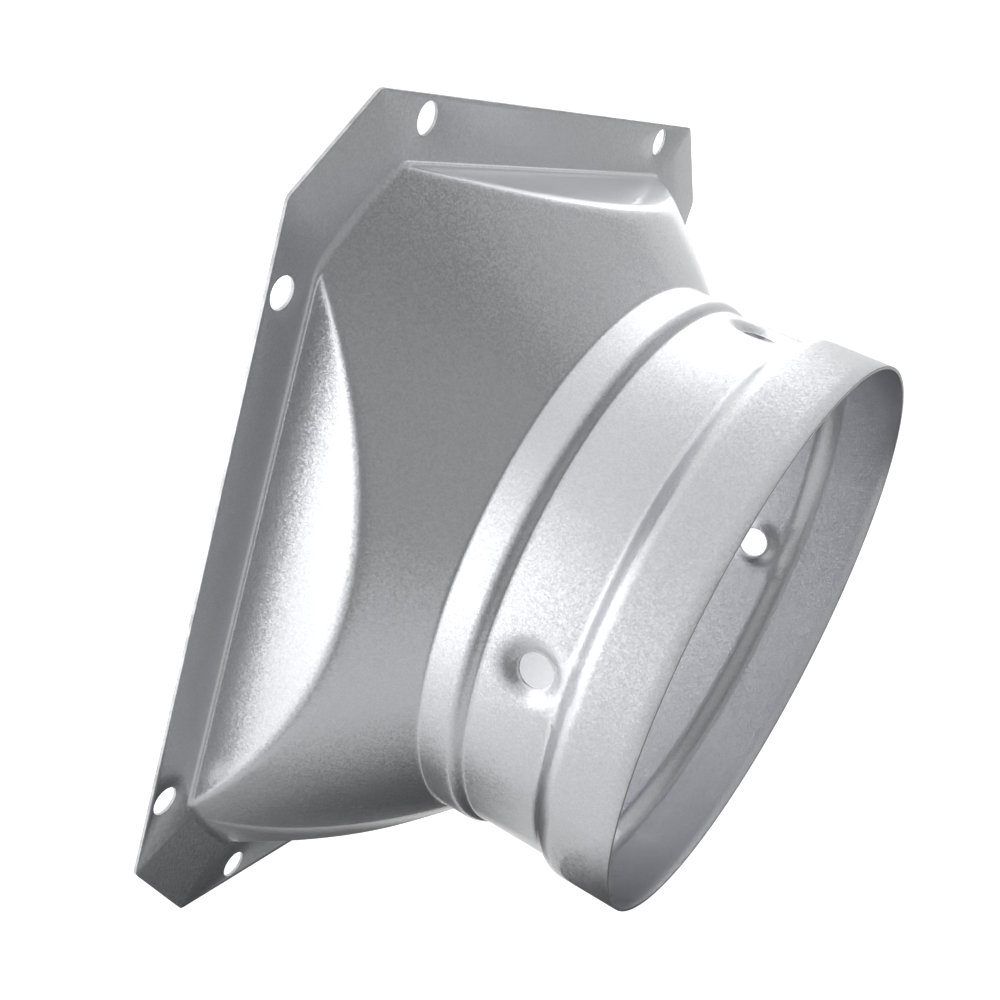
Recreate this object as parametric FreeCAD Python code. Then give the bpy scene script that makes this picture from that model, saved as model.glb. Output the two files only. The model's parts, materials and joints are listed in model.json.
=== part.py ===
import FreeCAD, Part
import math
import os
from FreeCAD import Vector

# Duct connector: one pressed sheet, from a square flange to a round collar.
# Lengths are in millimetres and angles in degrees. The origin is the middle of
# the flange's back face, and +Z runs along the duct's axis to the open mouth.

# Sheet
sheet = 0.5

# Round end, from the mouth back to the body
duct_diameter = 100.0
mouth_length = 10.3
flare_rise = 1.75
flare_length = 4.2
flare_foot_bend = 1.2
flare_lip_bend = 4.7
collar_length = 13.1
shoulder_recess = 0.6
shoulder_length = 5.2
step_length = 2.8
step_foot_bend = 0.7
neck_bend = 0.8

# Pressed body, which goes from the square foot to the round neck
body_height = 28.8
body_side_step = 9.8
body_corner_trim = 9.0
body_crown = 0.8
crease_bend_corner = 1.2
crease_bend_middle = 8.0
foot_bend = 0.8

# Flange
flange_border = 9.8
flange_corner_cut = 14.8
flange_corner_bend = 2.0
flange_hole_diameter = 4.9
flange_hole_edge = 3.3
flange_hole_from_cut = 12.8

# Dimpled screw holes round the collar
collar_hole_diameter = 5.6
collar_hole_land = 0.25
dimple_diameter = 9.8
dimple_depth = 1.3
dimple_rim_bend = 2.0
dimple_from_flare = 5.2

# Worked-out sizes
mouth_radius = duct_diameter / 2
collar_radius = mouth_radius - flare_rise
shoulder_radius = mouth_radius - shoulder_recess
body_half = shoulder_radius + body_side_step
foot_radius = body_half * math.sqrt(2) - body_corner_trim
flange_half = body_half + flange_border
hole_line = flange_half - flange_hole_edge
hole_offset = flange_half - flange_corner_cut - flange_hole_from_cut
shoulder_top = body_height + shoulder_length
collar_start = shoulder_top + step_length
flare_start = collar_start + collar_length
mouth_start = flare_start + flare_length
total_height = mouth_start + mouth_length
dimple_height = flare_start - dimple_from_flare

# The part repeats every 45 degrees, mirrored each time, so one such wedge is shaped.
wedge_angle = 45.0

# The skins run on past the sheet by this much, so that every cut goes through.
overrun = 8.0
tolerance = 1e-4


def on_circle(centre, radius, angle):
    """Point of an arc in the profile plane, as (radius from the axis, height)."""
    turn = math.radians(angle)
    return (centre[0] + radius * math.cos(turn), centre[1] + radius * math.sin(turn))


def bend(centre, radius, start, end, inside, depth):
    """Ends and middle of one bend of the sheet, at a depth below its outer face.

    The centre is on the metal's side of the outer face where inside is true, and
    in the open air where it is false, so the bend gets tighter or wider with depth.
    """
    at_depth = radius - depth if inside else radius + depth
    return [on_circle(centre, at_depth, a) for a in (start, (start + end) / 2, end)]


def crown_circle():
    """Centre and radius of the slightly crowned slope from the foot to the neck."""
    run = foot_radius - shoulder_radius
    slope = math.hypot(run, body_height)
    radius = (slope**2 / 4 + body_crown**2) / (2 * body_crown)
    back = body_crown - radius
    centre = (
        (foot_radius + shoulder_radius) / 2 + back * body_height / slope,
        body_height / 2 + back * run / slope,
    )
    return centre, radius


def crown_bend(depth):
    """The crowned slope, from below the foot up to the neck bend."""
    centre, radius = crown_circle()
    low = math.degrees(math.asin((-overrun - centre[1]) / (radius - depth)))
    return bend(centre, radius, low, neck_angle(), True, depth)


def neck_centre():
    """Centre of the bend where the slope turns up into the shoulder."""
    centre, radius = crown_circle()
    across = shoulder_radius + neck_bend - centre[0]
    reach = radius + neck_bend
    return (shoulder_radius + neck_bend, centre[1] + math.sqrt(reach**2 - across**2))


def neck_angle():
    """Direction from the crown's centre to the neck bend's centre."""
    crown, _ = crown_circle()
    neck = neck_centre()
    return math.degrees(math.atan2(neck[1] - crown[1], neck[0] - crown[0]))


def double_bend(start_radius, end_radius, start, length, first, last_bend, depth):
    """Two opposite bends, with a straight slope between, from one radius to another."""
    rise = end_radius - start_radius
    both = first + last_bend
    straight = math.sqrt(max(length**2 + rise**2 - 2 * both * abs(rise), 0))
    turn = math.degrees(math.atan2(length, both - abs(rise)) - math.atan2(straight, both))
    end = start + length
    if rise < 0:
        return [
            bend((start_radius - first, start), first, 0, turn, True, depth),
            bend((end_radius + last_bend, end), last_bend, 180 + turn, 180, False, depth),
        ]
    return [
        bend((start_radius + first, start), first, 180, 180 - turn, False, depth),
        bend((end_radius - last_bend, end), last_bend, -turn, 0, True, depth),
    ]


def skin_profile(depth):
    """Half section of the sheet's skin at a depth below its outer face."""
    neck = bend(neck_centre(), neck_bend, neck_angle() + 180, 180, False, depth)
    step_turn = 2 * math.atan2(shoulder_radius - collar_radius, step_length)
    step_bend = step_length / math.sin(step_turn) - step_foot_bend
    step = double_bend(
        shoulder_radius, collar_radius, shoulder_top, step_length, step_bend, step_foot_bend, depth
    )
    flare = double_bend(
        collar_radius, mouth_radius, flare_start, flare_length, flare_foot_bend, flare_lip_bend, depth
    )
    arcs = [crown_bend(depth), neck] + step + flare
    top = total_height if depth == 0 else total_height + overrun
    edges = []
    here = Vector(0, 0, arcs[0][0][1])
    for arc in arcs:
        first, middle, last = [Vector(r, 0, z) for r, z in arc]
        if here.distanceToPoint(first) > tolerance:
            edges.append(Part.makeLine(here, first))
        edges.append(Part.Arc(first, middle, last).toShape())
        here = last
    corners = [here, Vector(here.x, 0, top), Vector(0, 0, top), Vector(0, 0, arcs[0][0][1])]
    edges += [Part.makeLine(a, b) for a, b in zip(corners, corners[1:])]
    return Part.Wire(edges)


def edges_where(shape, test):
    """Edges off the cut planes of the eighth whose ends and middle all pass a test."""
    found = []
    for edge in shape.Edges:
        middle = edge.valueAt((edge.FirstParameter + edge.LastParameter) / 2)
        on_cut_plane = abs(middle.y) < tolerance or abs(middle.y - middle.x) < tolerance
        points = [vertex.Point for vertex in edge.Vertexes] + [middle]
        if not on_cut_plane and all(test(point) for point in points):
            found.append(edge)
    return found


def body_skin(depth):
    """One eighth of the skin: the round form cut by one flat side, with its crease rolled."""
    half = body_half - depth
    round_form = Part.Face(skin_profile(depth)).revolve(Vector(0, 0, 0), Vector(0, 0, 1), wedge_angle)
    side = Part.makeBox(half, 2 * half, total_height + 4 * overrun, Vector(0, -half, -2 * overrun))
    eighth = round_form.common(side).Solids[0]

    def on_side(point):
        return abs(point.x - half) < tolerance

    curved = [e for e in edges_where(eighth, on_side) if not isinstance(e.Curve, Part.Line)]
    crease = curved[0]
    corner_bend = crease_bend_corner - depth
    middle_bend = crease_bend_middle - depth
    at_start = crease.valueAt(crease.FirstParameter)
    bends = (corner_bend, middle_bend) if at_start.z < 0 else (middle_bend, corner_bend)
    return eighth.makeFillet(bends[0], bends[1], [crease]).Solids[0]


def dimple_tool(depth):
    """The space outside one dimple's skin, turned about the screw's axis along +X."""
    slope = math.atan2(dimple_depth, (dimple_diameter - collar_hole_diameter) / 2 - collar_hole_land)
    floor = collar_radius - dimple_depth - depth
    land = collar_hole_diameter / 2 + collar_hole_land
    foot = land - depth * math.tan(slope / 2)
    top = mouth_radius
    reach = foot + (top - floor) / math.tan(slope)
    corners = [
        Vector(floor, 0, 0),
        Vector(floor, 0, foot),
        Vector(top, 0, reach),
        Vector(top, 0, 0),
        Vector(floor, 0, 0),
    ]
    face = Part.Face(Part.makePolygon(corners))
    tool = face.revolve(Vector(0, 0, 0), Vector(1, 0, 0), 360)
    tool.translate(Vector(0, 0, dimple_height))
    return tool


def dimpled(skin, depth):
    """The skin with the half dimple pressed in and its rim rolled."""
    pressed = skin.cut(dimple_tool(depth)).Solids[0]
    radius = collar_radius - depth
    reach = dimple_diameter / 2 + flare_rise

    def on_rim(point):
        on_wall = abs(math.hypot(point.x, point.y) - radius) < tolerance
        return on_wall and math.hypot(point.y, point.z - dimple_height) < reach

    rim = edges_where(pressed, on_rim)
    return pressed.makeFillet(dimple_rim_bend - depth, rim).Solids[0]


def flange_eighth():
    """One eighth of the flat flange, with one screw hole."""
    corner = flange_half - flange_corner_cut
    cut_middle = flange_half - flange_corner_cut / 2
    outline = [
        Vector(0, 0, 0),
        Vector(flange_half, 0, 0),
        Vector(flange_half, corner, 0),
        Vector(cut_middle, cut_middle, 0),
        Vector(0, 0, 0),
    ]
    plate = Part.Face(Part.makePolygon(outline)).extrude(Vector(0, 0, sheet))

    def on_corner(point):
        return abs(point.x - flange_half) < tolerance and abs(point.y - corner) < tolerance

    plate = plate.makeFillet(flange_corner_bend, edges_where(plate, on_corner)).Solids[0]
    hole_base = Vector(hole_line, hole_offset, -sheet)
    return plate.cut(Part.makeCylinder(flange_hole_diameter / 2, 3 * sheet, hole_base))


def foot_outline(shape, height, half):
    """Edges where the body meets the flange's level at a height."""

    def on_foot(point):
        return abs(point.z - height) < tolerance and point.x < half + tolerance

    return edges_where(shape, on_foot)


def connector_eighth():
    """One eighth of the sheet, between a side's middle and a corner's middle."""
    outer = dimpled(body_skin(0), 0)
    width = 2 * flange_half
    below = Part.makeBox(width, width, 4 * overrun, Vector(-flange_half, -flange_half, -4 * overrun))
    outer = outer.cut(below).fuse(flange_eighth()).removeSplitter().Solids[0]
    outer = outer.makeFillet(foot_bend, foot_outline(outer, sheet, body_half)).Solids[0]
    eighth = outer.cut(dimpled(body_skin(sheet), sheet)).Solids[0]
    back_edges = foot_outline(eighth, 0, body_half - sheet)
    eighth = eighth.makeFillet(foot_bend + sheet, back_edges).Solids[0]
    hole_base = Vector(collar_radius / 2, 0, dimple_height)
    screw = Part.makeCylinder(collar_hole_diameter / 2, mouth_radius, hole_base, Vector(1, 0, 0))
    return eighth.cut(screw).Solids[0]


def pressed_connector():
    """The whole part: the eighth and its mirror image, turned round the axis."""
    eighth = connector_eighth()
    quarter = [eighth, eighth.mirror(Vector(0, 0, 0), Vector(0, 1, 0))]
    quarter_angle = 2 * wedge_angle
    copies = []
    for turn in range(round(360 / quarter_angle)):
        for piece in quarter:
            copy = piece.copy()
            copy.rotate(Vector(0, 0, 0), Vector(0, 0, 1), quarter_angle * turn)
            copies.append(copy)
    return copies[0].multiFuse(copies[1:]).removeSplitter().Solids[0]


os.makedirs("parts", exist_ok=True)
connector = pressed_connector()
print("solid", connector.isValid(), "volume mm3", round(connector.Volume, 1))
print("box", connector.optimalBoundingBox(False))
connector.exportStep("parts/pressed_connector.step")
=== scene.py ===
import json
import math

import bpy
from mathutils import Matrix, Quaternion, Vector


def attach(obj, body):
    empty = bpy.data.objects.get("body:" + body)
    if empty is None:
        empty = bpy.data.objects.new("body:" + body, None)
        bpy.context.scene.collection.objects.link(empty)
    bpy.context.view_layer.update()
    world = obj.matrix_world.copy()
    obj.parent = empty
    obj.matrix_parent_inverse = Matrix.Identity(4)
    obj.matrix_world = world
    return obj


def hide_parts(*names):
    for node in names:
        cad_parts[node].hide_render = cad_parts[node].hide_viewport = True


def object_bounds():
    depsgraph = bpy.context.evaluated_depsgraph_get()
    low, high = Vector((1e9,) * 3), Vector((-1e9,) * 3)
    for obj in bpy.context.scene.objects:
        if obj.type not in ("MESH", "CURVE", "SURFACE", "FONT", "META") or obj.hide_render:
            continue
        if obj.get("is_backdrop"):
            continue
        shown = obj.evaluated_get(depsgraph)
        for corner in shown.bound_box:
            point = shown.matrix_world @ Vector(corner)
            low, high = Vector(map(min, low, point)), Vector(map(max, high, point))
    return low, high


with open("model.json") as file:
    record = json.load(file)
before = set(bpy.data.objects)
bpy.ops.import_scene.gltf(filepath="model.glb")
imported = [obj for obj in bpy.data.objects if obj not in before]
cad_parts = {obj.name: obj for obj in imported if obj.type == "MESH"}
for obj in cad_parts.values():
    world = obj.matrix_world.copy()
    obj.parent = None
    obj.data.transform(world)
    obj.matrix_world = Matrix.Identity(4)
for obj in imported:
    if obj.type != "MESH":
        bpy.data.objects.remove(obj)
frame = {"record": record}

# %% [markdown]
# # A pressed duct connector
#
# The object is one sheet of steel, half a millimetre thick. A press draws a square,
# four-sided body up out of a flat flange, and the body runs into a round collar with a
# flared mouth. The whole sheet is painted satin silver-grey.
#
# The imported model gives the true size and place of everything. This script dresses it:
# it makes a smooth sheet with the same sizes, gives it the paint, and lights it softly.

cad_low, cad_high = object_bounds()
for corner_name, corner in (("lowest", cad_low), ("highest", cad_high)):
    print("packed model's", corner_name, "corner", [round(v, 4) for v in corner])

# %% [markdown]
# An object in Blender is a name and a place for some data, such as a mesh, a lamp or a
# camera. It shows only once it is linked to the scene, so one helper does both.


# %% A new object in the scene
def add_object(name, data):
    """Makes an object for a mesh, a lamp or a camera and links it to the scene."""
    made = bpy.data.objects.new(name, data)
    bpy.context.scene.collection.objects.link(made)
    return made


# %% [markdown]
# ## Sizes
#
# A press tool is cut to a drawing, so the script starts from one too. What the record
# states as a mount is read from it, such as the mouth's radius and the hole spacing.
# The rest are the drawing's own lengths, in millimetres, turned into metres here.

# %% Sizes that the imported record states
mm = 0.001
dims = {mount["name"]: mount["dims"] for mount in frame["record"]["mounts"]}
flange_half = cad_high[0]
total_height = cad_high[2]
mouth_radius = dims["duct_spigot"]["r_mm"] * mm
mouth_length = dims["duct_spigot"]["length_mm"] * mm
sheet = mouth_radius - dims["duct_bore"]["r_mm"] * mm
hole_radius = dims["flange_holes_along_x"]["hole_r_mm"] * mm
hole_pitch = dims["flange_holes_along_x"]["spacing_x_mm"] * mm
hole_span = dims["flange_holes_along_x"]["spacing_y_mm"] * mm
print("mouth radius", mouth_radius, "sheet", round(sheet, 5), "height", round(total_height, 4))

# %% Sizes of the round end, from the mouth back to the body
flare_rise = 1.75 * mm
flare_length = 4.2 * mm
flare_first_bend = 1.2 * mm
flare_last_bend = 4.7 * mm
collar_length = 13.1 * mm
shoulder_recess = 0.6 * mm
shoulder_length = 5.2 * mm
step_length = 2.8 * mm
step_last_bend = 0.7 * mm
collar_radius = mouth_radius - flare_rise
shoulder_radius = mouth_radius - shoulder_recess
mouth_start = total_height - mouth_length
flare_start = mouth_start - flare_length
collar_start = flare_start - collar_length
shoulder_top = collar_start - step_length
body_height = shoulder_top - shoulder_length
step_turn = 2 * math.atan((shoulder_radius - collar_radius) / step_length)
step_first_bend = step_length / math.sin(step_turn) - step_last_bend
flare_bends = flare_first_bend + flare_last_bend
flare_slope = math.sqrt(flare_length**2 + flare_rise**2 - 2 * flare_bends * flare_rise)
flare_turn = math.atan2(flare_length, flare_bends - flare_rise)
flare_turn -= math.atan2(flare_slope, flare_bends)
print("body height", round(body_height, 4), "collar radius", collar_radius)

# %% Sizes of the pressed body and the flange
body_side_step = 9.8 * mm
body_corner_trim = 9.0 * mm
body_crown = 1.05 * mm
body_half = shoulder_radius + body_side_step
foot_radius = body_half * math.sqrt(2) - body_corner_trim
foot_bend = 0.8 * mm
roll_at_corner = 3.0 * mm
roll_at_middle = 6.0 * mm
roll_fades_from = 0.55
flange_corner_cut = 14.8 * mm
flange_corner_bend = 2.0 * mm
print("body half width", round(body_half, 4), "foot corner radius", round(foot_radius, 4))

# %% Sizes of the dimpled screw holes in the collar
screw_radius = 2.8 * mm
dimple_land = screw_radius + 0.25 * mm
dimple_depth = 1.3 * mm
dimple_radius = 4.9 * mm
dimple_height = flare_start - 5.2 * mm
dimple_slope = dimple_depth / (dimple_radius - dimple_land)
print("dimple wall slope", round(math.degrees(math.atan(dimple_slope)), 1), "degrees")

# %% [markdown]
# ## Arithmetic in a node tree
#
# The sheet's shape follows a rule: at every height and every angle round the axis, one
# formula gives the distance of the metal from the axis. Geometry Nodes can work that out
# for each point of a grid. Placing dozens of Math nodes by hand is hard to read, so a
# small class turns ordinary arithmetic into nodes.


# %% A number in a node tree that can be added, multiplied and compared
def give(tree, value, slot):
    """Links a field to a node's input, or sets the input to a plain value."""
    if isinstance(value, Field):
        tree.links.new(value.socket, slot)
    else:
        slot.default_value = value


class Field:
    """A number that varies over a mesh or a surface, written as plain arithmetic."""

    def __init__(self, tree, socket):
        self.tree = tree
        self.socket = socket

    def math(self, operation, *others):
        node = self.tree.nodes.new("ShaderNodeMath")
        node.operation = operation
        for slot, value in zip(node.inputs, (self, *others)):
            give(self.tree, value, slot)
        return Field(self.tree, node.outputs["Value"])

    def __add__(self, other):
        return self.math("ADD", other)

    def __sub__(self, other):
        return self.math("SUBTRACT", other)

    def __mul__(self, other):
        return self.math("MULTIPLY", other)

    def __truediv__(self, other):
        return self.math("DIVIDE", other)

    def ramp(self, start, end, kind="LINEAR"):
        """0 up to the start, 1 from the end on, and a line or a soft S between them."""
        node = self.tree.nodes.new("ShaderNodeMapRange")
        node.interpolation_type = kind
        for slot, value in zip(node.inputs, (self, start, end)):
            give(self.tree, value, slot)
        return Field(self.tree, node.outputs["Result"])

    def mix(self, other, share):
        """This field where the share is 0 and the other where it is 1."""
        return (self * -1.0 + other) * share + self


# %% Nodes and vectors
def add_node(tree, kind, inputs=(), **settings):
    """A node with its settings made and its inputs linked or set, by name or place."""
    node = tree.nodes.new(kind)
    for name, value in settings.items():
        setattr(node, name, value)
    for place, value in dict(inputs).items():
        if isinstance(value, bpy.types.NodeSocket):
            tree.links.new(value, node.inputs[place])
        else:
            give(tree, value, node.inputs[place])
    return node


def parts_of(tree, vector):
    """The three numbers of a vector."""
    node = add_node(tree, "ShaderNodeSeparateXYZ", {0: vector})
    return [Field(tree, output) for output in node.outputs]


def vector_of(tree, x, y, z):
    """A vector made of three numbers."""
    return add_node(tree, "ShaderNodeCombineXYZ", {0: x, 1: y, 2: z}).outputs[0]


# %% [markdown]
# ## The flat blank
#
# A real press starts from a flat blank. So does this tree: a grid whose columns go round
# the axis and whose rows go up from the foot to the mouth. Columns are closer together
# where the sheet has fine detail, at the dimples in the middle of each side and at the
# ends of each side's crease. Rows are closer together at each bend.

# %% Columns: stretches of angle in half a side, and the number of columns in each
stretches = [(7.5, 12), (26.0, 23), (7.0, 12), (4.5, 5)]
columns_in_half_side = sum(count for _, count in stretches)
columns = 8 * columns_in_half_side
column_angle = math.radians(stretches[0][0]) / stretches[0][1]
row_gap = column_angle * collar_radius
print(columns, "columns, rows and columns", round(row_gap / mm, 3), "mm apart at the dimples")


# %% Rows: how far up the body each one is, and how far beyond it
def spread(start, end, count, power=1.0):
    """Steps from a start, left out, to an end, closer together at the start above power 1."""
    return [start + (end - start) * (k / count) ** power for k in range(1, count + 1)]


neck_low = body_height - 1.4 * mm
neck_high = body_height + 1.2 * mm
block_half = 11
block_reach = 14
foot_top = sheet + foot_bend
foot_turn = [math.radians(15 * k) for k in range(7)]
rows = [(0.0, sheet + foot_bend * (1 - math.cos(a)) - foot_top) for a in foot_turn]
rows += [(2.0 - t, 0.0) for t in reversed([1.0] + spread(1.0, 2.0, 12, 1.5)[:-1])]
rows += [(t, 0.0) for t in spread(1.0, 2.0, 18, 1.5)]
heights = spread(neck_low, neck_high, 8) + spread(neck_high, shoulder_top, 4)
heights += spread(shoulder_top, collar_start, 10)
dimple_row = len(rows) + len(heights) + block_reach
heights += [dimple_height + k * row_gap for k in range(-block_reach, block_reach + 1)]
heights += spread(heights[-1], mouth_start, 9) + spread(mouth_start, total_height, 4)
rows += [(2.0, z - neck_low) for z in heights]
print(len(rows), "rows, the dimples' middle on row", dimple_row)

# %% The rows as a plain mesh for the tree to read
row_mesh = bpy.data.meshes.new("connector_rows")
row_mesh.from_pydata([(share, 0.0, extra) for share, extra in rows], [], [])
connector = add_object("silver_connector", row_mesh)
print(len(row_mesh.vertices), "points stand for the rows")

# %% [markdown]
# ## The tree and its named inputs
#
# Every size that the press tool sets is an input of the tree, by name. The tree's last
# steps turn instances into real mesh and give it the paint.

# %% Tree inputs
tree = bpy.data.node_groups.new("press_the_sheet", "GeometryNodeTree")
tree.interface.new_socket("Rows", in_out="INPUT", socket_type="NodeSocketGeometry")
tree.interface.new_socket("Sheet", in_out="OUTPUT", socket_type="NodeSocketGeometry")
tree_sizes = {
    "Mouth radius": mouth_radius,
    "Collar radius": collar_radius,
    "Shoulder radius": shoulder_radius,
    "Foot corner radius": foot_radius,
    "Body half width": body_half,
    "Body height": body_height,
    "Crown": body_crown,
    "Shoulder top": shoulder_top,
    "Collar start": collar_start,
    "Flare start": flare_start,
    "Mouth start": mouth_start,
    "Sheet thickness": sheet,
    "Foot bend": foot_bend,
    "Step first bend": step_first_bend,
    "Step last bend": step_last_bend,
    "Flare first bend": flare_first_bend,
    "Flare last bend": flare_last_bend,
    "Flare slope": flare_slope * math.cos(flare_turn),
    "Roll at corner": roll_at_corner,
    "Roll at middle": roll_at_middle,
    "Screw radius": screw_radius,
    "Dimple land": dimple_land,
    "Dimple depth": dimple_depth,
    "Dimple slope": dimple_slope,
    "Dimple height": dimple_height,
    "Flange half width": flange_half,
    "Flange corner cut": flange_corner_cut,
    "Flange corner bend": flange_corner_bend,
    "Flange hole radius": hole_radius,
    "Flange hole pitch": hole_pitch,
    "Flange hole span": hole_span,
}
paint = bpy.data.materials.new("silver_paint")
for size_name in tree_sizes:
    tree.interface.new_socket(size_name, in_out="INPUT", socket_type="NodeSocketFloat")
entry = tree.nodes.new("NodeGroupInput")
size = {size_name: Field(tree, entry.outputs[size_name]) for size_name in tree_sizes}
print(len(tree_sizes), "named sizes go into the tree")

# %% Grid: column and row numbers of each point
grid = add_node(
    tree,
    "GeometryNodeMeshGrid",
    {"Size X": 1.0, "Size Y": 1.0, "Vertices X": columns + 1, "Vertices Y": len(rows)},
)
place = add_node(tree, "GeometryNodeInputPosition").outputs[0]
across, along, _ = parts_of(tree, place)
column = ((across + 0.5) * columns).math("ROUND")
row = ((along + 0.5) * (len(rows) - 1)).math("ROUND")
quarter = (column / (columns / 4)).math("ROUND")
from_middle = column - quarter * (columns / 4)
row_from_dimple = row - dimple_row
print("the blank has", (columns + 1) * len(rows), "points")

# %% Angle of each column from the middle of its side
steps_out = from_middle.math("ABSOLUTE")
angle = None
first_column = 0
for degrees_wide, count in stretches:
    stretch = steps_out.ramp(first_column, first_column + count) * math.radians(degrees_wide)
    angle = stretch if angle is None else angle + stretch
    first_column += count
angle = angle * from_middle.math("SIGN")
print("half a side spans", sum(wide for wide, _ in stretches), "degrees")

# %% [markdown]
# ## Where the crease runs
#
# The flat side and the cone-like corner meet in a curved crease. If it ran slantwise
# across the grid, it would look jagged. So each column's rows are stretched until one
# row lies right on the crease: the crease height is where the cone is as far out as the
# flat side.

# %% Height of the crease in each column
run = size["Foot corner radius"] - size["Shoulder radius"]
side_reach = size["Body half width"] / angle.math("COSINE")
slope_term = run - size["Crown"] * 4
room = size["Foot corner radius"] - side_reach
under_root = slope_term * slope_term + size["Crown"] * room * 16
crease_share = (slope_term - under_root.math("ABSOLUTE").math("SQRT")) / (size["Crown"] * -8)
lowest_crease = foot_top + 0.4 * mm
crease_blend = 0.5 * mm
crease = (crease_share * size["Body height"]).math("SMOOTH_MAX", lowest_crease, crease_blend)
print("the crease starts", round(lowest_crease / mm, 2), "mm up, at the corners")

# %% Height of each point of the grid
row_data = add_node(
    tree,
    "GeometryNodeSampleIndex",
    {"Geometry": entry.outputs["Rows"], "Value": place, "Index": row},
    data_type="FLOAT_VECTOR",
)
body_share, _, extra = parts_of(tree, row_data.outputs[0])
lower_part = body_share.ramp(0.0, 1.0)
upper_part = body_share.ramp(1.0, 2.0)
height = (crease - foot_top) * lower_part + foot_top
height = height + (crease * -1.0 + neck_low) * upper_part + extra
print("rows end", round(total_height / mm, 1), "mm up;", len(tree.nodes), "nodes so far")

# %% [markdown]
# ## Room for the dimples
#
# A round dimple doesn't fit a square grid. A square block of the grid is taken out round
# each screw hole, and the points round the gap move on to a circle. A round patch with
# rings of its own then fills it. The same trick is used for any round detail on a
# squared-up mesh.

# %% Points round each gap move on to a circle
patch_radius = 6.0 * mm
ring = steps_out.math("MAXIMUM", row_from_dimple.math("ABSOLUTE"))
half_right = math.radians(45)
turn_across = from_middle / ring * half_right
turn_up = row_from_dimple / ring * half_right
circle_across = turn_across.math("SINE") * turn_up.math("COSINE") * math.sqrt(2)
circle_up = turn_up.math("SINE") * turn_across.math("COSINE") * math.sqrt(2)
circle_radius = (ring - block_half) * row_gap + patch_radius
on_circle = (ring * -1.0).ramp(-block_reach, -block_half, "SMOOTHSTEP")
circle_angle = (circle_across * circle_radius / size["Collar radius"]).math("ARCSINE")
flat_angle = angle.mix(circle_angle, on_circle)
flat_height = height.mix(circle_up * circle_radius + size["Dimple height"], on_circle)
in_gap = ring.math("LESS_THAN", block_half - 0.5)
kept = add_node(
    tree,
    "GeometryNodeDeleteGeometry",
    {"Geometry": grid.outputs["Mesh"], "Selection": in_gap},
    domain="POINT",
)
blank = add_node(
    tree,
    "GeometryNodeSetPosition",
    {"Geometry": kept.outputs[0], "Position": vector_of(tree, flat_angle, quarter, flat_height)},
)
print("a gap", 2 * block_half, "columns wide becomes a circle", 2 * patch_radius / mm, "mm wide")

# %% Round patches with the screw holes, one for each side
patch_rings = 14
disc = add_node(
    tree,
    "GeometryNodeMeshGrid",
    {
        "Size X": 1.0,
        "Size Y": 1.0,
        "Vertices X": patch_rings + 1,
        "Vertices Y": 8 * block_half + 1,
    },
)
from_hole = (size["Screw radius"] * -1.0 + patch_radius) * (across + 0.5) + size["Screw radius"]
round_hole = (along + 0.5) * math.tau
patch_angle = (round_hole.math("COSINE") * from_hole / size["Collar radius"]).math("ARCSINE")
patch_height = round_hole.math("SINE") * from_hole + size["Dimple height"]
patch = add_node(
    tree,
    "GeometryNodeSetPosition",
    {
        "Geometry": disc.outputs["Mesh"],
        "Position": vector_of(tree, patch_angle, 0.0, patch_height),
    },
)
side_numbers = add_node(tree, "GeometryNodeMeshLine", {"Count": 4, "Offset": (0.0, 1.0, 0.0)})
patches = add_node(
    tree,
    "GeometryNodeInstanceOnPoints",
    {"Points": side_numbers.outputs["Mesh"], "Instance": patch.outputs["Geometry"]},
)
real_patches = add_node(
    tree,
    "GeometryNodeRealizeInstances",
    {"Geometry": patches.outputs["Instances"]},
)
flat_sheet = tree.nodes.new("GeometryNodeJoinGeometry")
for piece in (blank, real_patches):
    tree.links.new(piece.outputs["Geometry"], flat_sheet.inputs["Geometry"])
print(patch_rings, "rings of", 8 * block_half, "points round each screw hole")

# %% [markdown]
# ## The press stroke
#
# In the flat blank each point is an angle, a side's number and a height. The press
# stroke turns that into a place in space. The wall is the larger of the cone and the
# round end, and then the smaller of that and the flat side. A smooth smallest or
# largest value rolls the sheet over each crease, as a press tool with rounded edges does.


# %% A wall that steps in or out through two bends, with a straight slope between them
def arc_drop(along_arc, bend):
    """How far an arc of a bend's radius has left its tangent."""
    return bend - (bend * bend - along_arc * along_arc).math("SQRT")


def two_bends(z, start, first_bend, slope_length, last_bend, turn):
    """The change in radius at a height, for two opposite bends that begin at a start."""
    first_length = first_bend * math.sin(turn)
    last_length = last_bend * math.sin(turn)
    slope_start = start + first_length
    end = slope_start + slope_length + last_length
    done = arc_drop((z - start).math("MAXIMUM", 0.0).math("MINIMUM", first_length), first_bend)
    slope = (z - slope_start).math("MAXIMUM", 0.0).math("MINIMUM", slope_length) * math.tan(turn)
    left = arc_drop((end - z).math("MAXIMUM", 0.0).math("MINIMUM", last_length), last_bend)
    return done + slope - left + arc_drop(last_length, last_bend)


# %% Radius of the cone-like corners and the round end
roll_to_blend = 0.4
neck_blend = 0.35 * mm
point_angle, side_number, z = parts_of(tree, place)
body_part = z / size["Body height"]
bulge = (body_part * -1.0 + 1.0) * body_part * size["Crown"] * 4
cone = size["Foot corner radius"] - run * body_part + bulge
groove = two_bends(
    z,
    size["Shoulder top"],
    size["Step first bend"],
    0.0,
    size["Step last bend"],
    step_turn,
)
flare = two_bends(
    z,
    size["Flare start"],
    size["Flare first bend"],
    size["Flare slope"],
    size["Flare last bend"],
    flare_turn,
)
round_end = size["Shoulder radius"] - groove + flare
wall = cone.math("SMOOTH_MAX", round_end, neck_blend)
step_and_flare = [round(math.degrees(turn), 1) for turn in (step_turn, flare_turn)]
print("the step and the flare lean by", step_and_flare, "degrees")

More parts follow.
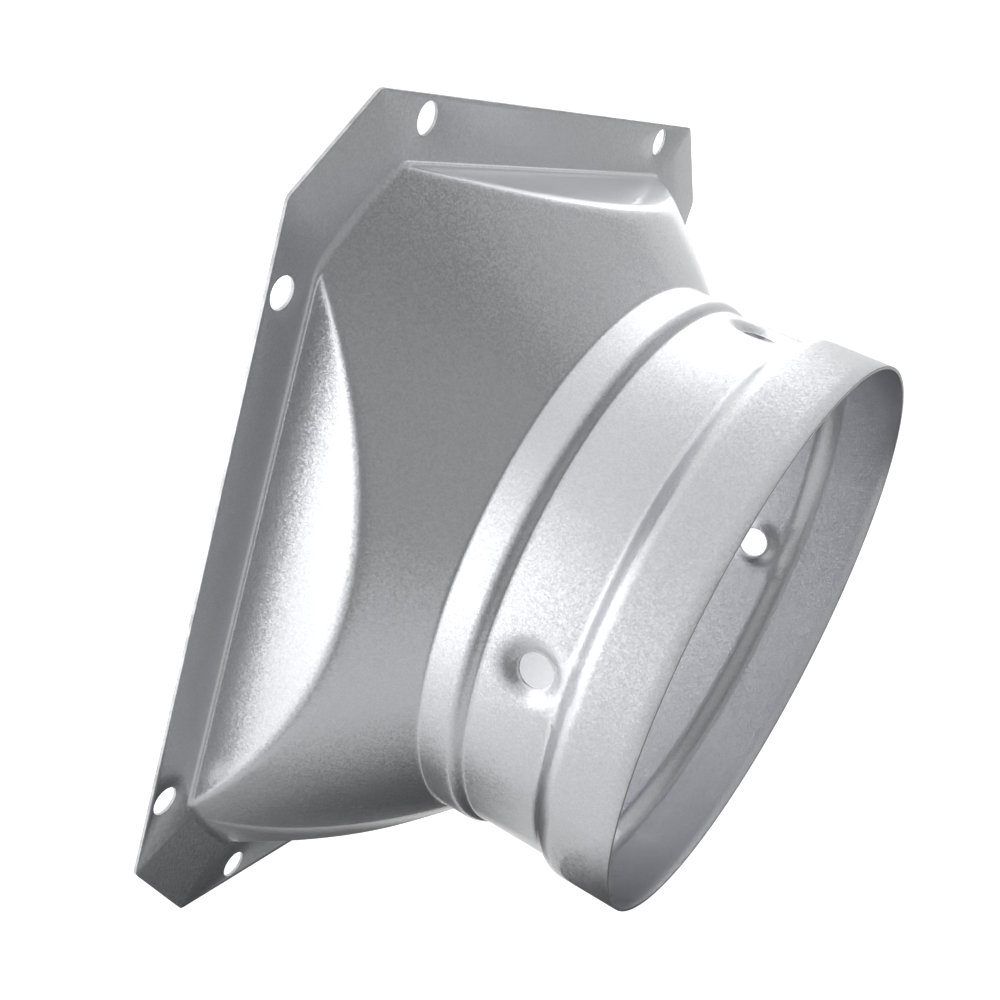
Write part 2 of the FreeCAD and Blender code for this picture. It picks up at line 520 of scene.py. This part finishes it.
# %% Foot bend, flat sides and rolled crease
into_bend = (size["Sheet thickness"] + size["Foot bend"] - z).math("MAXIMUM", 0.0)
growth = arc_drop(into_bend, size["Foot bend"])
corner_angle = math.acos(body_half / foot_radius)
towards_corner = point_angle.math("ABSOLUTE").ramp(roll_fades_from * corner_angle, corner_angle)
roll = size["Roll at middle"].mix(size["Roll at corner"], towards_corner)
flat_side = (size["Body half width"] + growth) / point_angle.math("COSINE")
reach = (wall + growth).math("SMOOTH_MIN", flat_side, roll * roll_to_blend)
print("corners start", round(math.degrees(corner_angle), 2), "degrees from each side's middle")

# %% Dimples, and each side turned to its own direction
land_bend = 0.3 * mm
rim_blend = 1.9 * mm
outward = reach * point_angle.math("COSINE")
sideways = reach * point_angle.math("SINE")
up_from_screw = z - size["Dimple height"]
from_screw = (sideways * sideways + up_from_screw * up_from_screw).math("SQRT")
dish = (from_screw - size["Dimple land"]).math("SMOOTH_MAX", 0.0, land_bend) * size["Dimple slope"]
dish = dish + size["Collar radius"] - size["Dimple depth"]
pressed_in = outward.math("SMOOTH_MIN", dish, rim_blend)
side_turn = side_number * (math.pi / 2)
east = pressed_in * side_turn.math("COSINE") - sideways * side_turn.math("SINE")
north = pressed_in * side_turn.math("SINE") + sideways * side_turn.math("COSINE")
pressed = add_node(
    tree,
    "GeometryNodeSetPosition",
    {"Geometry": flat_sheet.outputs["Geometry"], "Position": vector_of(tree, east, north, z)},
)
same_point = 0.002 * mm
body = add_node(
    tree,
    "GeometryNodeMergeByDistance",
    {"Geometry": pressed.outputs["Geometry"], "Distance": same_point},
)
print("a dimple's rim is rolled up to", round(rim_blend / dimple_slope / mm, 1), "mm outwards")

# %% [markdown]
# ## The flange
#
# The flange is flat, so it needs no grid. Its outline, its eight screw holes and the foot
# of the pressed body are curves in one plane, and Fill Curve fills what lies between
# them. The foot's curve is read back from the pressed body, so the two meet point for point.

# %% Flange outline with its corners cut and bent
width = size["Flange half width"] * 2
square = add_node(
    tree,
    "GeometryNodeCurvePrimitiveQuadrilateral",
    {"Width": width, "Height": width},
)
cut_corners = add_node(
    tree,
    "GeometryNodeFilletCurve",
    {"Curve": square.outputs["Curve"], "Count": 1, "Radius": size["Flange corner cut"]},
    mode="POLY",
)
outline = add_node(
    tree,
    "GeometryNodeFilletCurve",
    {"Curve": cut_corners.outputs["Curve"], "Count": 5, "Radius": size["Flange corner bend"]},
    mode="POLY",
)
print("the flange is", round(2 * flange_half / mm, 1), "mm square")

# %% Flange holes: a circle on the four corners of each rectangle of holes
hole = add_node(
    tree,
    "GeometryNodeCurvePrimitiveCircle",
    {"Resolution": 40, "Radius": size["Flange hole radius"]},
)
hole_curves = tree.nodes.new("GeometryNodeJoinGeometry")
pitch, span = size["Flange hole pitch"], size["Flange hole span"]
for along_x, along_y in ((pitch, span), (span, pitch)):
    corners = add_node(
        tree,
        "GeometryNodeMeshGrid",
        {"Size X": along_x, "Size Y": along_y, "Vertices X": 2, "Vertices Y": 2},
    )
    circles = add_node(
        tree,
        "GeometryNodeInstanceOnPoints",
        {"Points": corners.outputs["Mesh"], "Instance": hole.outputs["Curve"]},
    )
    tree.links.new(circles.outputs["Instances"], hole_curves.inputs["Geometry"])
real_holes = add_node(
    tree,
    "GeometryNodeRealizeInstances",
    {"Geometry": hole_curves.outputs["Geometry"]},
)
print("flange holes are", round(2 * hole_radius / mm, 1), "mm wide")

# %% Flange: fill between the outline, the holes and the foot of the body
lowest = z.math("LESS_THAN", sheet + same_point)
foot_curve = add_node(
    tree,
    "GeometryNodeMeshToCurve",
    {"Mesh": body.outputs["Geometry"], "Selection": lowest},
)
flat_curves = tree.nodes.new("GeometryNodeJoinGeometry")
for piece in (outline, real_holes, foot_curve):
    tree.links.new(piece.outputs[0], flat_curves.inputs["Geometry"])
filled = add_node(
    tree,
    "GeometryNodeFillCurve",
    {"Curve": flat_curves.outputs["Geometry"]},
    mode="TRIANGLES",
)
lifted = add_node(
    tree,
    "GeometryNodeTransform",
    {"Geometry": filled.outputs["Mesh"], "Translation": (0.0, 0.0, sheet)},
)
print("the flange's front face is", round(sheet / mm, 2), "mm up")

# %% Body and flange become one sheet, with the paint on it
both = tree.nodes.new("GeometryNodeJoinGeometry")
for piece in (body, lifted):
    tree.links.new(piece.outputs["Geometry"], both.inputs["Geometry"])
joined = add_node(
    tree,
    "GeometryNodeMergeByDistance",
    {"Geometry": both.outputs["Geometry"], "Distance": same_point},
)
smooth = add_node(tree, "GeometryNodeSetShadeSmooth", {"Geometry": joined.outputs["Geometry"]})
real = add_node(tree, "GeometryNodeRealizeInstances", {"Geometry": smooth.outputs["Geometry"]})
painted = add_node(
    tree,
    "GeometryNodeSetMaterial",
    {"Geometry": real.outputs["Geometry"], "Material": paint},
)
leave = tree.nodes.new("NodeGroupOutput")
tree.links.new(painted.outputs["Geometry"], leave.inputs["Sheet"])
print("the tree has", len(tree.nodes), "nodes")


# %% Run the tree once and keep the result as a plain mesh
def settle(piece):
    """Replaces a piece's mesh by what its modifiers make of it, and removes them."""
    bpy.context.view_layer.update()
    finished = piece.evaluated_get(bpy.context.evaluated_depsgraph_get())
    made = bpy.data.meshes.new_from_object(finished)
    piece.modifiers.clear()
    piece.data = made
    return made


press = connector.modifiers.new("press", "NODES")
press.node_group = tree
for item in tree.interface.items_tree:
    if item.in_out == "INPUT" and item.name in tree_sizes:
        press[item.identifier] = tree_sizes[item.name]
skin = settle(connector)
print("outer skin:", len(skin.vertices), "points,", len(skin.polygons), "faces")

# %% [markdown]
# ## Thickness and cut edges
#
# Solidify gives the skin its half millimetre of steel, on the inside. Cut sheet never
# has a perfectly sharp edge, and the paint rounds it a little more, so a narrow bevel
# breaks every cut edge and catches the light.

# %% Steel thickness and broken edges
edge_break = 0.09 * mm
thicken = connector.modifiers.new("steel", "SOLIDIFY")
thicken.thickness = sheet
thicken.offset = -1.0
thicken.use_even_offset = True
soften = connector.modifiers.new("edges", "BEVEL")
soften.width = edge_break
soften.segments = 2
soften.limit_method = "ANGLE"
soften.angle_limit = math.radians(55)
body_mesh = settle(connector)
triangles = sum(len(face.vertices) - 2 for face in body_mesh.polygons)
print("finished sheet:", triangles, "triangles")

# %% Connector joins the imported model
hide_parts("pressed_connector")
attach(connector, "root")
print(connector.name, "takes the place of the packed sheet")

# %% [markdown]
# ## The silver paint
#
# Silver paint is a clear binder full of tiny metal flakes. Every flake is a mirror that lies
# a little out of level, so light from one direction comes back as a soft glow with a fine
# sparkle in it. A mask painted by hand couldn't be that fine. A Voronoi texture can: each of
# its cells is one flake, with a random number of its own. All textures read Object
# coordinates, so the grain has the same size everywhere and doesn't stretch.

# %% Paint: values that are the same all over
paint.use_nodes = True
paint_tree = paint.node_tree
surface = paint_tree.nodes["Principled BSDF"]
even_values = {"Metallic": 1.0, "Coat Weight": 0.8, "Coat Roughness": 0.06}
for socket_name, value in even_values.items():
    surface.inputs[socket_name].default_value = value
object_place = add_node(paint_tree, "ShaderNodeTexCoord").outputs["Object"]
print("the paint is the same all over in", even_values)


# %% Paint: one random tilt and one random tone for each flake
def vector_math(operation, *vectors):
    """One step of vector arithmetic in the paint's tree."""
    inputs = dict(enumerate(vectors))
    return add_node(paint_tree, "ShaderNodeVectorMath", inputs, operation=operation).outputs[0]


flake_size = 0.26 * mm
flake_tilt = 0.11
flakes = add_node(
    paint_tree,
    "ShaderNodeTexVoronoi",
    {"Vector": object_place, "Scale": 1.0 / flake_size},
)
even_tilt = vector_math("SUBTRACT", flakes.outputs["Color"], (0.5, 0.5, 0.5))
tilt = vector_math("MULTIPLY", even_tilt, (flake_tilt, flake_tilt, flake_tilt))
level_normal = add_node(paint_tree, "ShaderNodeNewGeometry").outputs["Normal"]
flake_normal = vector_math("NORMALIZE", vector_math("ADD", level_normal, tilt))
flake_tone, _, _ = parts_of(paint_tree, flakes.outputs["Color"])
print("flakes are", round(flake_size / mm, 2), "mm wide")


# %% Paint: noise of a given grain, as a field from about 0 to 1
def grain(spacing, detail=2.0):
    """Noise whose lumps are a spacing apart."""
    noise = add_node(
        paint_tree,
        "ShaderNodeTexNoise",
        {"Vector": object_place, "Scale": 1.0 / spacing, "Detail": detail},
    )
    return Field(paint_tree, noise.outputs["Fac"])


# %% [markdown]
# A sprayed coat isn't level. It dries with a faint orange peel, and the pressed sheet under
# it is a little wavy too. Two Bump nodes add those, the larger wave first.

# %% Paint: waves of the sheet and orange peel
wave_length = 14 * mm
wave_height = 0.06 * mm
peel_length = 1.6 * mm
peel_height = 0.004 * mm
sheet_wave = grain(wave_length, 1.0)
orange_peel = grain(peel_length, 1.0)
wavy = add_node(
    paint_tree,
    "ShaderNodeBump",
    {"Height": sheet_wave, "Distance": wave_height, "Normal": flake_normal},
)
peeled = add_node(
    paint_tree,
    "ShaderNodeBump",
    {"Height": orange_peel, "Distance": peel_height, "Normal": wavy.outputs["Normal"]},
)
paint_tree.links.new(peeled.outputs["Normal"], surface.inputs["Normal"])
print("waves", round(wave_height / mm, 3), "mm high, peel", round(peel_height / mm, 3), "mm high")

# %% [markdown]
# Paint is thin on a sharp edge and wears off there first, at the flange's outline, the mouth's
# rim and round the screw holes. The part is the same in all four quarters, so the sizes of
# X and Y without their signs are enough to measure how near each point is to such an edge.

# %% Paint: how near a point is to a cut edge
east_place, north_place, up_place = parts_of(paint_tree, object_place)
size_x = east_place.math("ABSOLUTE")
size_y = north_place.math("ABSOLUTE")
larger = size_x.math("MAXIMUM", size_y)
smaller = size_x.math("MINIMUM", size_y)


def distance(first, second):
    """Length of the straight line that goes a first and a second amount across."""
    return (first * first + second * second).math("SQRT")


print("the paint has", len(paint_tree.nodes), "nodes so far")

# %% Paint: wear, with each edge as a measure, where it lies and how far in the wear goes
wear_reach = 0.5 * mm
diagonal_reach = 1.4 * wear_reach
patch_size = 2.2 * mm
worn_from = 0.35
worn_fully = 0.70
cut_line = 2 * flange_half - flange_corner_cut
flange_hole = distance(smaller - hole_pitch / 2, larger - hole_span / 2)
collar_hole = distance(smaller, up_place - dimple_height)
cut_edges = (
    (larger, flange_half, wear_reach),
    (larger + smaller, cut_line, diagonal_reach),
    (up_place, total_height, wear_reach),
    (flange_hole * -1.0, -hole_radius, wear_reach),
    (collar_hole * -1.0, -screw_radius, wear_reach),
)
at_edge = None
for measure, edge, inward in cut_edges:
    near = measure.ramp(edge - inward, edge)
    at_edge = near if at_edge is None else at_edge.math("MAXIMUM", near)
worn = at_edge * grain(patch_size, 3.0).ramp(worn_from, worn_fully)
print(len(cut_edges), "kinds of cut edge are worn over", wear_reach / mm, "mm")

# %% [markdown]
# The flakes and slow clouds of tone keep the silver from looking flat. Where the paint is
# worn the steel under it is darker and rougher, and the colour is darker still on the cut
# face of the mouth's rim.

# %% Paint: colour
silver = 0.68
silver_tint = (0.98, 0.99, 1.03)
flake_contrast = 0.09
cloud_contrast = 0.06
worn_silver = silver * 0.62
worn_share = 0.7
rim_silver = silver * 0.45
rim_depth = 0.10 * mm
rim_top = 0.04 * mm
cloud_size = 30 * mm
cloud = grain(cloud_size, 3.0)
tone = (flake_tone - 0.5) * flake_contrast + (cloud - 0.5) * cloud_contrast + silver
tone = tone.mix(worn_silver, worn * worn_share)
rim_face = up_place.ramp(total_height - rim_depth, total_height - rim_top)
tone = tone.mix(rim_silver, rim_face)
colour_parts = dict(enumerate(tone * tint for tint in silver_tint))
colour = add_node(paint_tree, "ShaderNodeCombineColor", colour_parts)
paint_tree.links.new(colour.outputs[0], surface.inputs["Base Color"])
print("the silver's colour is", [round(silver * tint, 3) for tint in silver_tint])

# %% Paint: roughness
satin = 0.33
worn_roughness = 0.5
cloud_change = 0.08
flake_change = 0.06
roughness = (cloud - 0.5) * cloud_change + (flake_tone - 0.5) * flake_change + satin
give(paint_tree, roughness.mix(worn_roughness, worn), surface.inputs["Roughness"])
print("the paint has", len(paint_tree.nodes), "nodes")

# %% [markdown]
# ## The studio
#
# The object lies on a pale floor that bends up far away, as a photographer's cove does, so
# that no horizon shows. Metal shows what is round it, so the floor has to be pale in its
# reflections as well: its glow is given to camera, glossy and transmission rays, and the
# diffuse part keeps the object's soft shadow. Under the body the glow for the metal is
# stronger. It stands for light that comes in through the open back and shows in the
# collar's screw holes. From below the floor is clear, so that the object's underside can be
# looked at too.

# %% Floor: a wide disc with a rim that bends up
flat_radius = 5.0
cove_bend = 2.5
cove_turn = math.radians(70)
floor_low = cad_low[2] - 0.1 * mm
cove_steps = 12
spokes = 64
profile = [(flat_radius, 0.0)]
for k in range(1, cove_steps + 1):
    turned = cove_turn * k / cove_steps
    out, up = cove_bend * math.sin(turned), cove_bend * (1 - math.cos(turned))
    profile.append((flat_radius + out, up))
floor_points = [(0.0, 0.0, floor_low)]
for ring_radius, ring_height in profile:
    for spoke in range(spokes):
        a = math.tau * spoke / spokes
        x, y = ring_radius * math.cos(a), ring_radius * math.sin(a)
        floor_points.append((x, y, floor_low + ring_height))
floor_faces = [(0, 1 + spoke, 1 + (spoke + 1) % spokes) for spoke in range(spokes)]
for ring_number in range(cove_steps):
    inner = 1 + ring_number * spokes
    outer = inner + spokes
    for spoke in range(spokes):
        follow = (spoke + 1) % spokes
        floor_faces.append((inner + spoke, outer + spoke, outer + follow, inner + follow))
floor_mesh = bpy.data.meshes.new("floor")
floor_mesh.from_pydata(floor_points, [], floor_faces)
floor_mesh.shade_smooth()
floor = add_object("floor", floor_mesh)
floor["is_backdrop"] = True
print("the floor has", len(floor_faces), "faces and bends up from", flat_radius, "m out")

# %% Floor: where it lies under the body
floor_paint = bpy.data.materials.new("pale_floor")
floor_paint.use_nodes = True
floor_tree = floor_paint.node_tree
floor_tree.nodes.clear()
outer_fade = 4 * mm
inner_fade = 6 * mm
floor_place = add_node(floor_tree, "ShaderNodeTexCoord").outputs["Object"]
floor_x, floor_y, _ = parts_of(floor_tree, floor_place)
square_out = floor_x.math("ABSOLUTE").math("MAXIMUM", floor_y.math("ABSOLUTE"))
round_out = distance(floor_x, floor_y)
under_body = (square_out * -1.0).ramp(-body_half - outer_fade, -body_half)
beside_duct = round_out.ramp(mouth_radius, mouth_radius + inner_fade)
under_body = under_body.math("MINIMUM", beside_duct)
print("the floor under the body ends", round((body_half + outer_fade) / mm, 1), "mm out")

# %% Floor: pale, with a glow for what the camera and the metal see
floor_albedo = 0.5
glow_for_camera = 0.80
glow_for_metal = 0.45
glow_under_body = 0.28
rays = floor_tree.nodes.new("ShaderNodeLightPath")
mirrored = Field(floor_tree, rays.outputs["Is Glossy Ray"])
mirrored = mirrored.math("MAXIMUM", Field(floor_tree, rays.outputs["Is Transmission Ray"]))
for_metal = under_body * glow_under_body + glow_for_metal
for_camera = Field(floor_tree, rays.outputs["Is Camera Ray"]) * glow_for_camera
floor_colour = (floor_albedo, floor_albedo, floor_albedo, 1.0)
dull = add_node(floor_tree, "ShaderNodeBsdfDiffuse", {"Color": floor_colour})
glow = add_node(floor_tree, "ShaderNodeEmission", {"Strength": for_camera + mirrored * for_metal})
lit_floor = add_node(floor_tree, "ShaderNodeAddShader", {0: dull.outputs[0], 1: glow.outputs[0]})
print("the floor glows", glow_for_camera, "for the camera and", glow_for_metal, "for metal")

# %% Floor: clear from below
from_below = add_node(floor_tree, "ShaderNodeNewGeometry").outputs["Backfacing"]
clear = floor_tree.nodes.new("ShaderNodeBsdfTransparent")
one_way = add_node(
    floor_tree,
    "ShaderNodeMixShader",
    {0: from_below, 1: lit_floor.outputs[0], 2: clear.outputs[0]},
)
add_node(floor_tree, "ShaderNodeOutputMaterial", {"Surface": one_way.outputs[0]})
floor_mesh.materials.append(floor_paint)
print("the floor's material has", len(floor_tree.nodes), "nodes")

# %% [markdown]
# Soft light comes from the whole room, a little more from one side, as by a large window.
# That is a world whose strength rises gently towards one direction. For the camera alone it
# is plain white, so that views from low down and from below have a white background too.

# %% World: even room light that is a little stronger on one side
room_level = 0.34
side_level = 0.13
brighter_side = math.radians(-30)
world = bpy.data.worlds.new("studio")
bpy.context.scene.world = world
world.use_nodes = True
room_tree = world.node_tree
room_direction = add_node(room_tree, "ShaderNodeTexCoord").outputs["Generated"]
room_x, room_y, _ = parts_of(room_tree, room_direction)
room_strength = room_x * (math.cos(brighter_side) * side_level)
room_strength = room_strength + room_y * (math.sin(brighter_side) * side_level) + room_level
room_rays = room_tree.nodes.new("ShaderNodeLightPath")
room_strength = room_strength.mix(1.0, Field(room_tree, room_rays.outputs["Is Camera Ray"]))
give(room_tree, room_strength, room_tree.nodes["Background"].inputs["Strength"])
room_tree.nodes["Background"].inputs["Color"].default_value = (1.0, 1.0, 1.0, 1.0)
print("room light from", round(room_level - side_level, 2), "to", round(room_level + side_level, 2))

# %% [markdown]
# Lamps add to that where the walls of a room would be. A distant lamp lights all from one
# direction and can look very wide, so it stands for a softbox or a bright wall. The one
# on the ceiling is hidden from the metal, which would show it as a hard patch of white.


# %% A direction, and a lamp that faces the object from it
def towards(azimuth, elevation):
    """Direction at an azimuth from +X towards +Y and an elevation above the floor."""
    a, e = math.radians(azimuth), math.radians(elevation)
    return Vector((math.cos(a) * math.cos(e), math.sin(a) * math.cos(e), math.sin(e)))


def face_object(lamp, direction):
    """Turns a lamp so that it shines from a direction."""
    lamp.rotation_mode = "QUATERNION"
    lamp.rotation_quaternion = direction.to_track_quat("Z", "Y")


def room_lamp(name, azimuth, elevation, wide, level):
    """A distant lamp: where it stands, how many degrees wide it looks, and its level."""
    lamp_data = bpy.data.lights.new(name, "SUN")
    lamp_data.angle = math.radians(wide)
    lamp_data.energy = level
    lamp = add_object(name, lamp_data)
    face_object(lamp, towards(azimuth, elevation))
    return lamp


print("90 degrees up is", [round(v, 3) for v in towards(0.0, 90.0)])

# %% Lamps far away: large and soft
ceiling = room_lamp("ceiling_lamp", 160.0, 65.0, 30.0, 0.8)
ceiling.visible_glossy = False
room_lamp("left_wall_lamp", -108.0, 44.0, 60.0, 0.24)
room_lamp("front_wall_lamp", 150.0, 66.0, 60.0, 0.08)
room_lamp("far_high_lamp", 54.0, 36.0, 40.0, 0.07)
print(ceiling.name, "is the brightest, at level", round(ceiling.data.energy, 2))


# %% A lamp that stands low on the far side
def disc_lamp(name, wide, power):
    """A round lamp of a width and a power, which the camera doesn't see."""
    lamp_data = bpy.data.lights.new(name, "AREA")
    lamp_data.shape = "DISK"
    lamp_data.size = wide
    lamp_data.energy = power
    lamp = add_object(name, lamp_data)
    lamp.visible_camera = False
    return lamp


lamp_distance = 2.0
low_lamp_angle = math.radians(18.0)
low_lamp_wide = 2 * lamp_distance * math.tan(low_lamp_angle / 2)
low_lamp_from = towards(24.0, 26.0)
low_lamp = disc_lamp("far_side_lamp", low_lamp_wide, 0.9)
low_lamp.location = low_lamp_from * lamp_distance
face_object(low_lamp, low_lamp_from)
print(low_lamp.name, "is", round(low_lamp_wide, 2), "m wide and", lamp_distance, "m away")

# %% [markdown]
# Against a white background the edges of bright metal get lost. A photographer stands a
# dark card beside the object, just out of view, so that the metal has something dark to
# mirror along its outline. Here one card stands and another lies on the floor beside the
# flange. Both are hidden from the camera and only mirrored, and they turn clear towards
# their rims, so that no hard line shows in the metal.

# %% Dark card: its paper, solid in the middle and clear at the rim
card_paint = bpy.data.materials.new("dark_card_paper")
card_paint.use_nodes = True
card_tree = card_paint.node_tree
card_face = card_tree.nodes["Principled BSDF"]
card_face.inputs["Base Color"].default_value = (0.12, 0.12, 0.12, 1.0)
card_face.inputs["Roughness"].default_value = 0.9
card_place = add_node(card_tree, "ShaderNodeTexCoord").outputs["UV"]
card_u, card_v, _ = parts_of(card_tree, card_place)
solid_to = 0.4
off_middle = ((card_u - 0.5) * 2.0).math("ABSOLUTE").math("MAXIMUM", card_v)
give(card_tree, (off_middle * -1.0).ramp(-1.0, -solid_to), card_face.inputs["Alpha"])
print("the card is solid over", solid_to, "of its half width and height")


# %% Dark card: a sheet with its foot's middle, its half width and its height
def dark_card(name, foot, side, up):
    """A card that only the metal mirrors, from the middle of its foot."""
    card_points = [foot - side, foot + side, foot + side + up, foot - side + up]
    mesh = bpy.data.meshes.new(name)
    mesh.from_pydata(card_points, [], [(0, 1, 2, 3)])
    corners = mesh.uv_layers.new(name="card").data
    for corner, place_on_card in zip(corners, ((0, 0), (1, 0), (1, 1), (0, 1))):
        corner.uv = place_on_card
    mesh.materials.append(card_paint)
    card = add_object(name, mesh)
    card.visible_camera = False
    card.visible_diffuse = False
    card.visible_shadow = False
    card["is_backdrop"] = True


# %% Dark cards: one stands and one lies just above the floor, clear of the flange
card_low = Vector((0.0, 0.0, cad_low[2] - 0.05 * mm))
card_gap = 2.5 * mm
standing_distance = 0.24
standing_half_width = 0.22
standing_height = 0.26
lying_half_width = 0.07
lying_depth = 0.13
dark_card(
    "standing_card",
    towards(-66.0, 0.0) * standing_distance + card_low,
    towards(24.0, 0.0) * standing_half_width,
    Vector((0.0, 0.0, standing_height)),
)
dark_card(
    "lying_card",
    towards(-90.0, 0.0) * (flange_half + card_gap) + card_low,
    towards(0.0, 0.0) * lying_half_width,
    towards(-90.0, 0.0) * lying_depth,
)
print("cards", standing_distance, "m away and", card_gap / mm, "mm beside the flange")

# %% [markdown]
# The object's upright walls mirror the floor close beside it. Small lamps over the floor
# make it brighter there, which gives the walls their white bands. Three of them lie round
# the object, and the one over the mouth lights the duct's inside.

# %% Lamps over the floor: azimuth, distance out, height, width and power
floor_lamps = {
    "far_floor_lamp": (58.0, 0.165, 0.06, 0.14, 0.24),
    "near_floor_lamp": (183.0, 0.125, 0.05, 0.11, 0.12),
    "close_floor_lamp": (165.0, 0.084, 0.03, 0.03, 0.012),
    "duct_floor_lamp": (0.0, 0.0, 0.10, 0.03, 0.10),
}
for lamp_name, (azimuth, out, above, wide, power) in floor_lamps.items():
    floor_lamp = disc_lamp(lamp_name, wide, power)
    floor_lamp.location = towards(azimuth, 0.0) * out + Vector((0.0, 0.0, above))
    floor_lamp.visible_glossy = False
print(len(floor_lamps), "lamps over the floor")

# %% [markdown]
# ## The camera
#
# The photograph was taken from the mouth's side, a little above the flange, with the camera
# or the picture turned, so that the flange stands up at the left. Here the object lies on
# its flange and the camera is rolled instead. Place, aim and roll were fitted to the
# flange's corners and holes and to the mouth's rim. The shift frames the object as the
# photograph does.

# %% Camera
camera_place = Vector((-219.1, 90.2, 109.2)) * mm
camera_aim = Vector((-5.5, -11.6, 20.2)) * mm
camera_roll = math.radians(117.7)
lens_per_sensor = 1.4163
camera_data = bpy.data.cameras.new("camera")
camera = add_object("camera", camera_data)
camera.location = camera_place
looking = (camera_aim - camera_place).to_track_quat("-Z", "Y")
camera.rotation_mode = "QUATERNION"
camera.rotation_quaternion = looking @ Quaternion((0.0, 0.0, 1.0), camera_roll)
camera_data.lens = lens_per_sensor * camera_data.sensor_width
camera_data.shift_x = -0.010
camera_data.shift_y = 0.100
bpy.context.scene.camera = camera
print("the camera is", round(camera_place.length, 3), "m from the flange's middle")

# %% [markdown]
# ## Colour and size
#
# The Standard view shows each colour as it is written. The size of the dressed object's box
# is printed last, beside the imported model's corners printed at the top.

# %% Colour and size
bpy.context.scene.view_settings.view_transform = "Standard"
look_low, look_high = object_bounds()
look_size = [round(high - low, 4) for low, high in zip(look_low, look_high)]
print("the dressed object measures", look_size, "m")
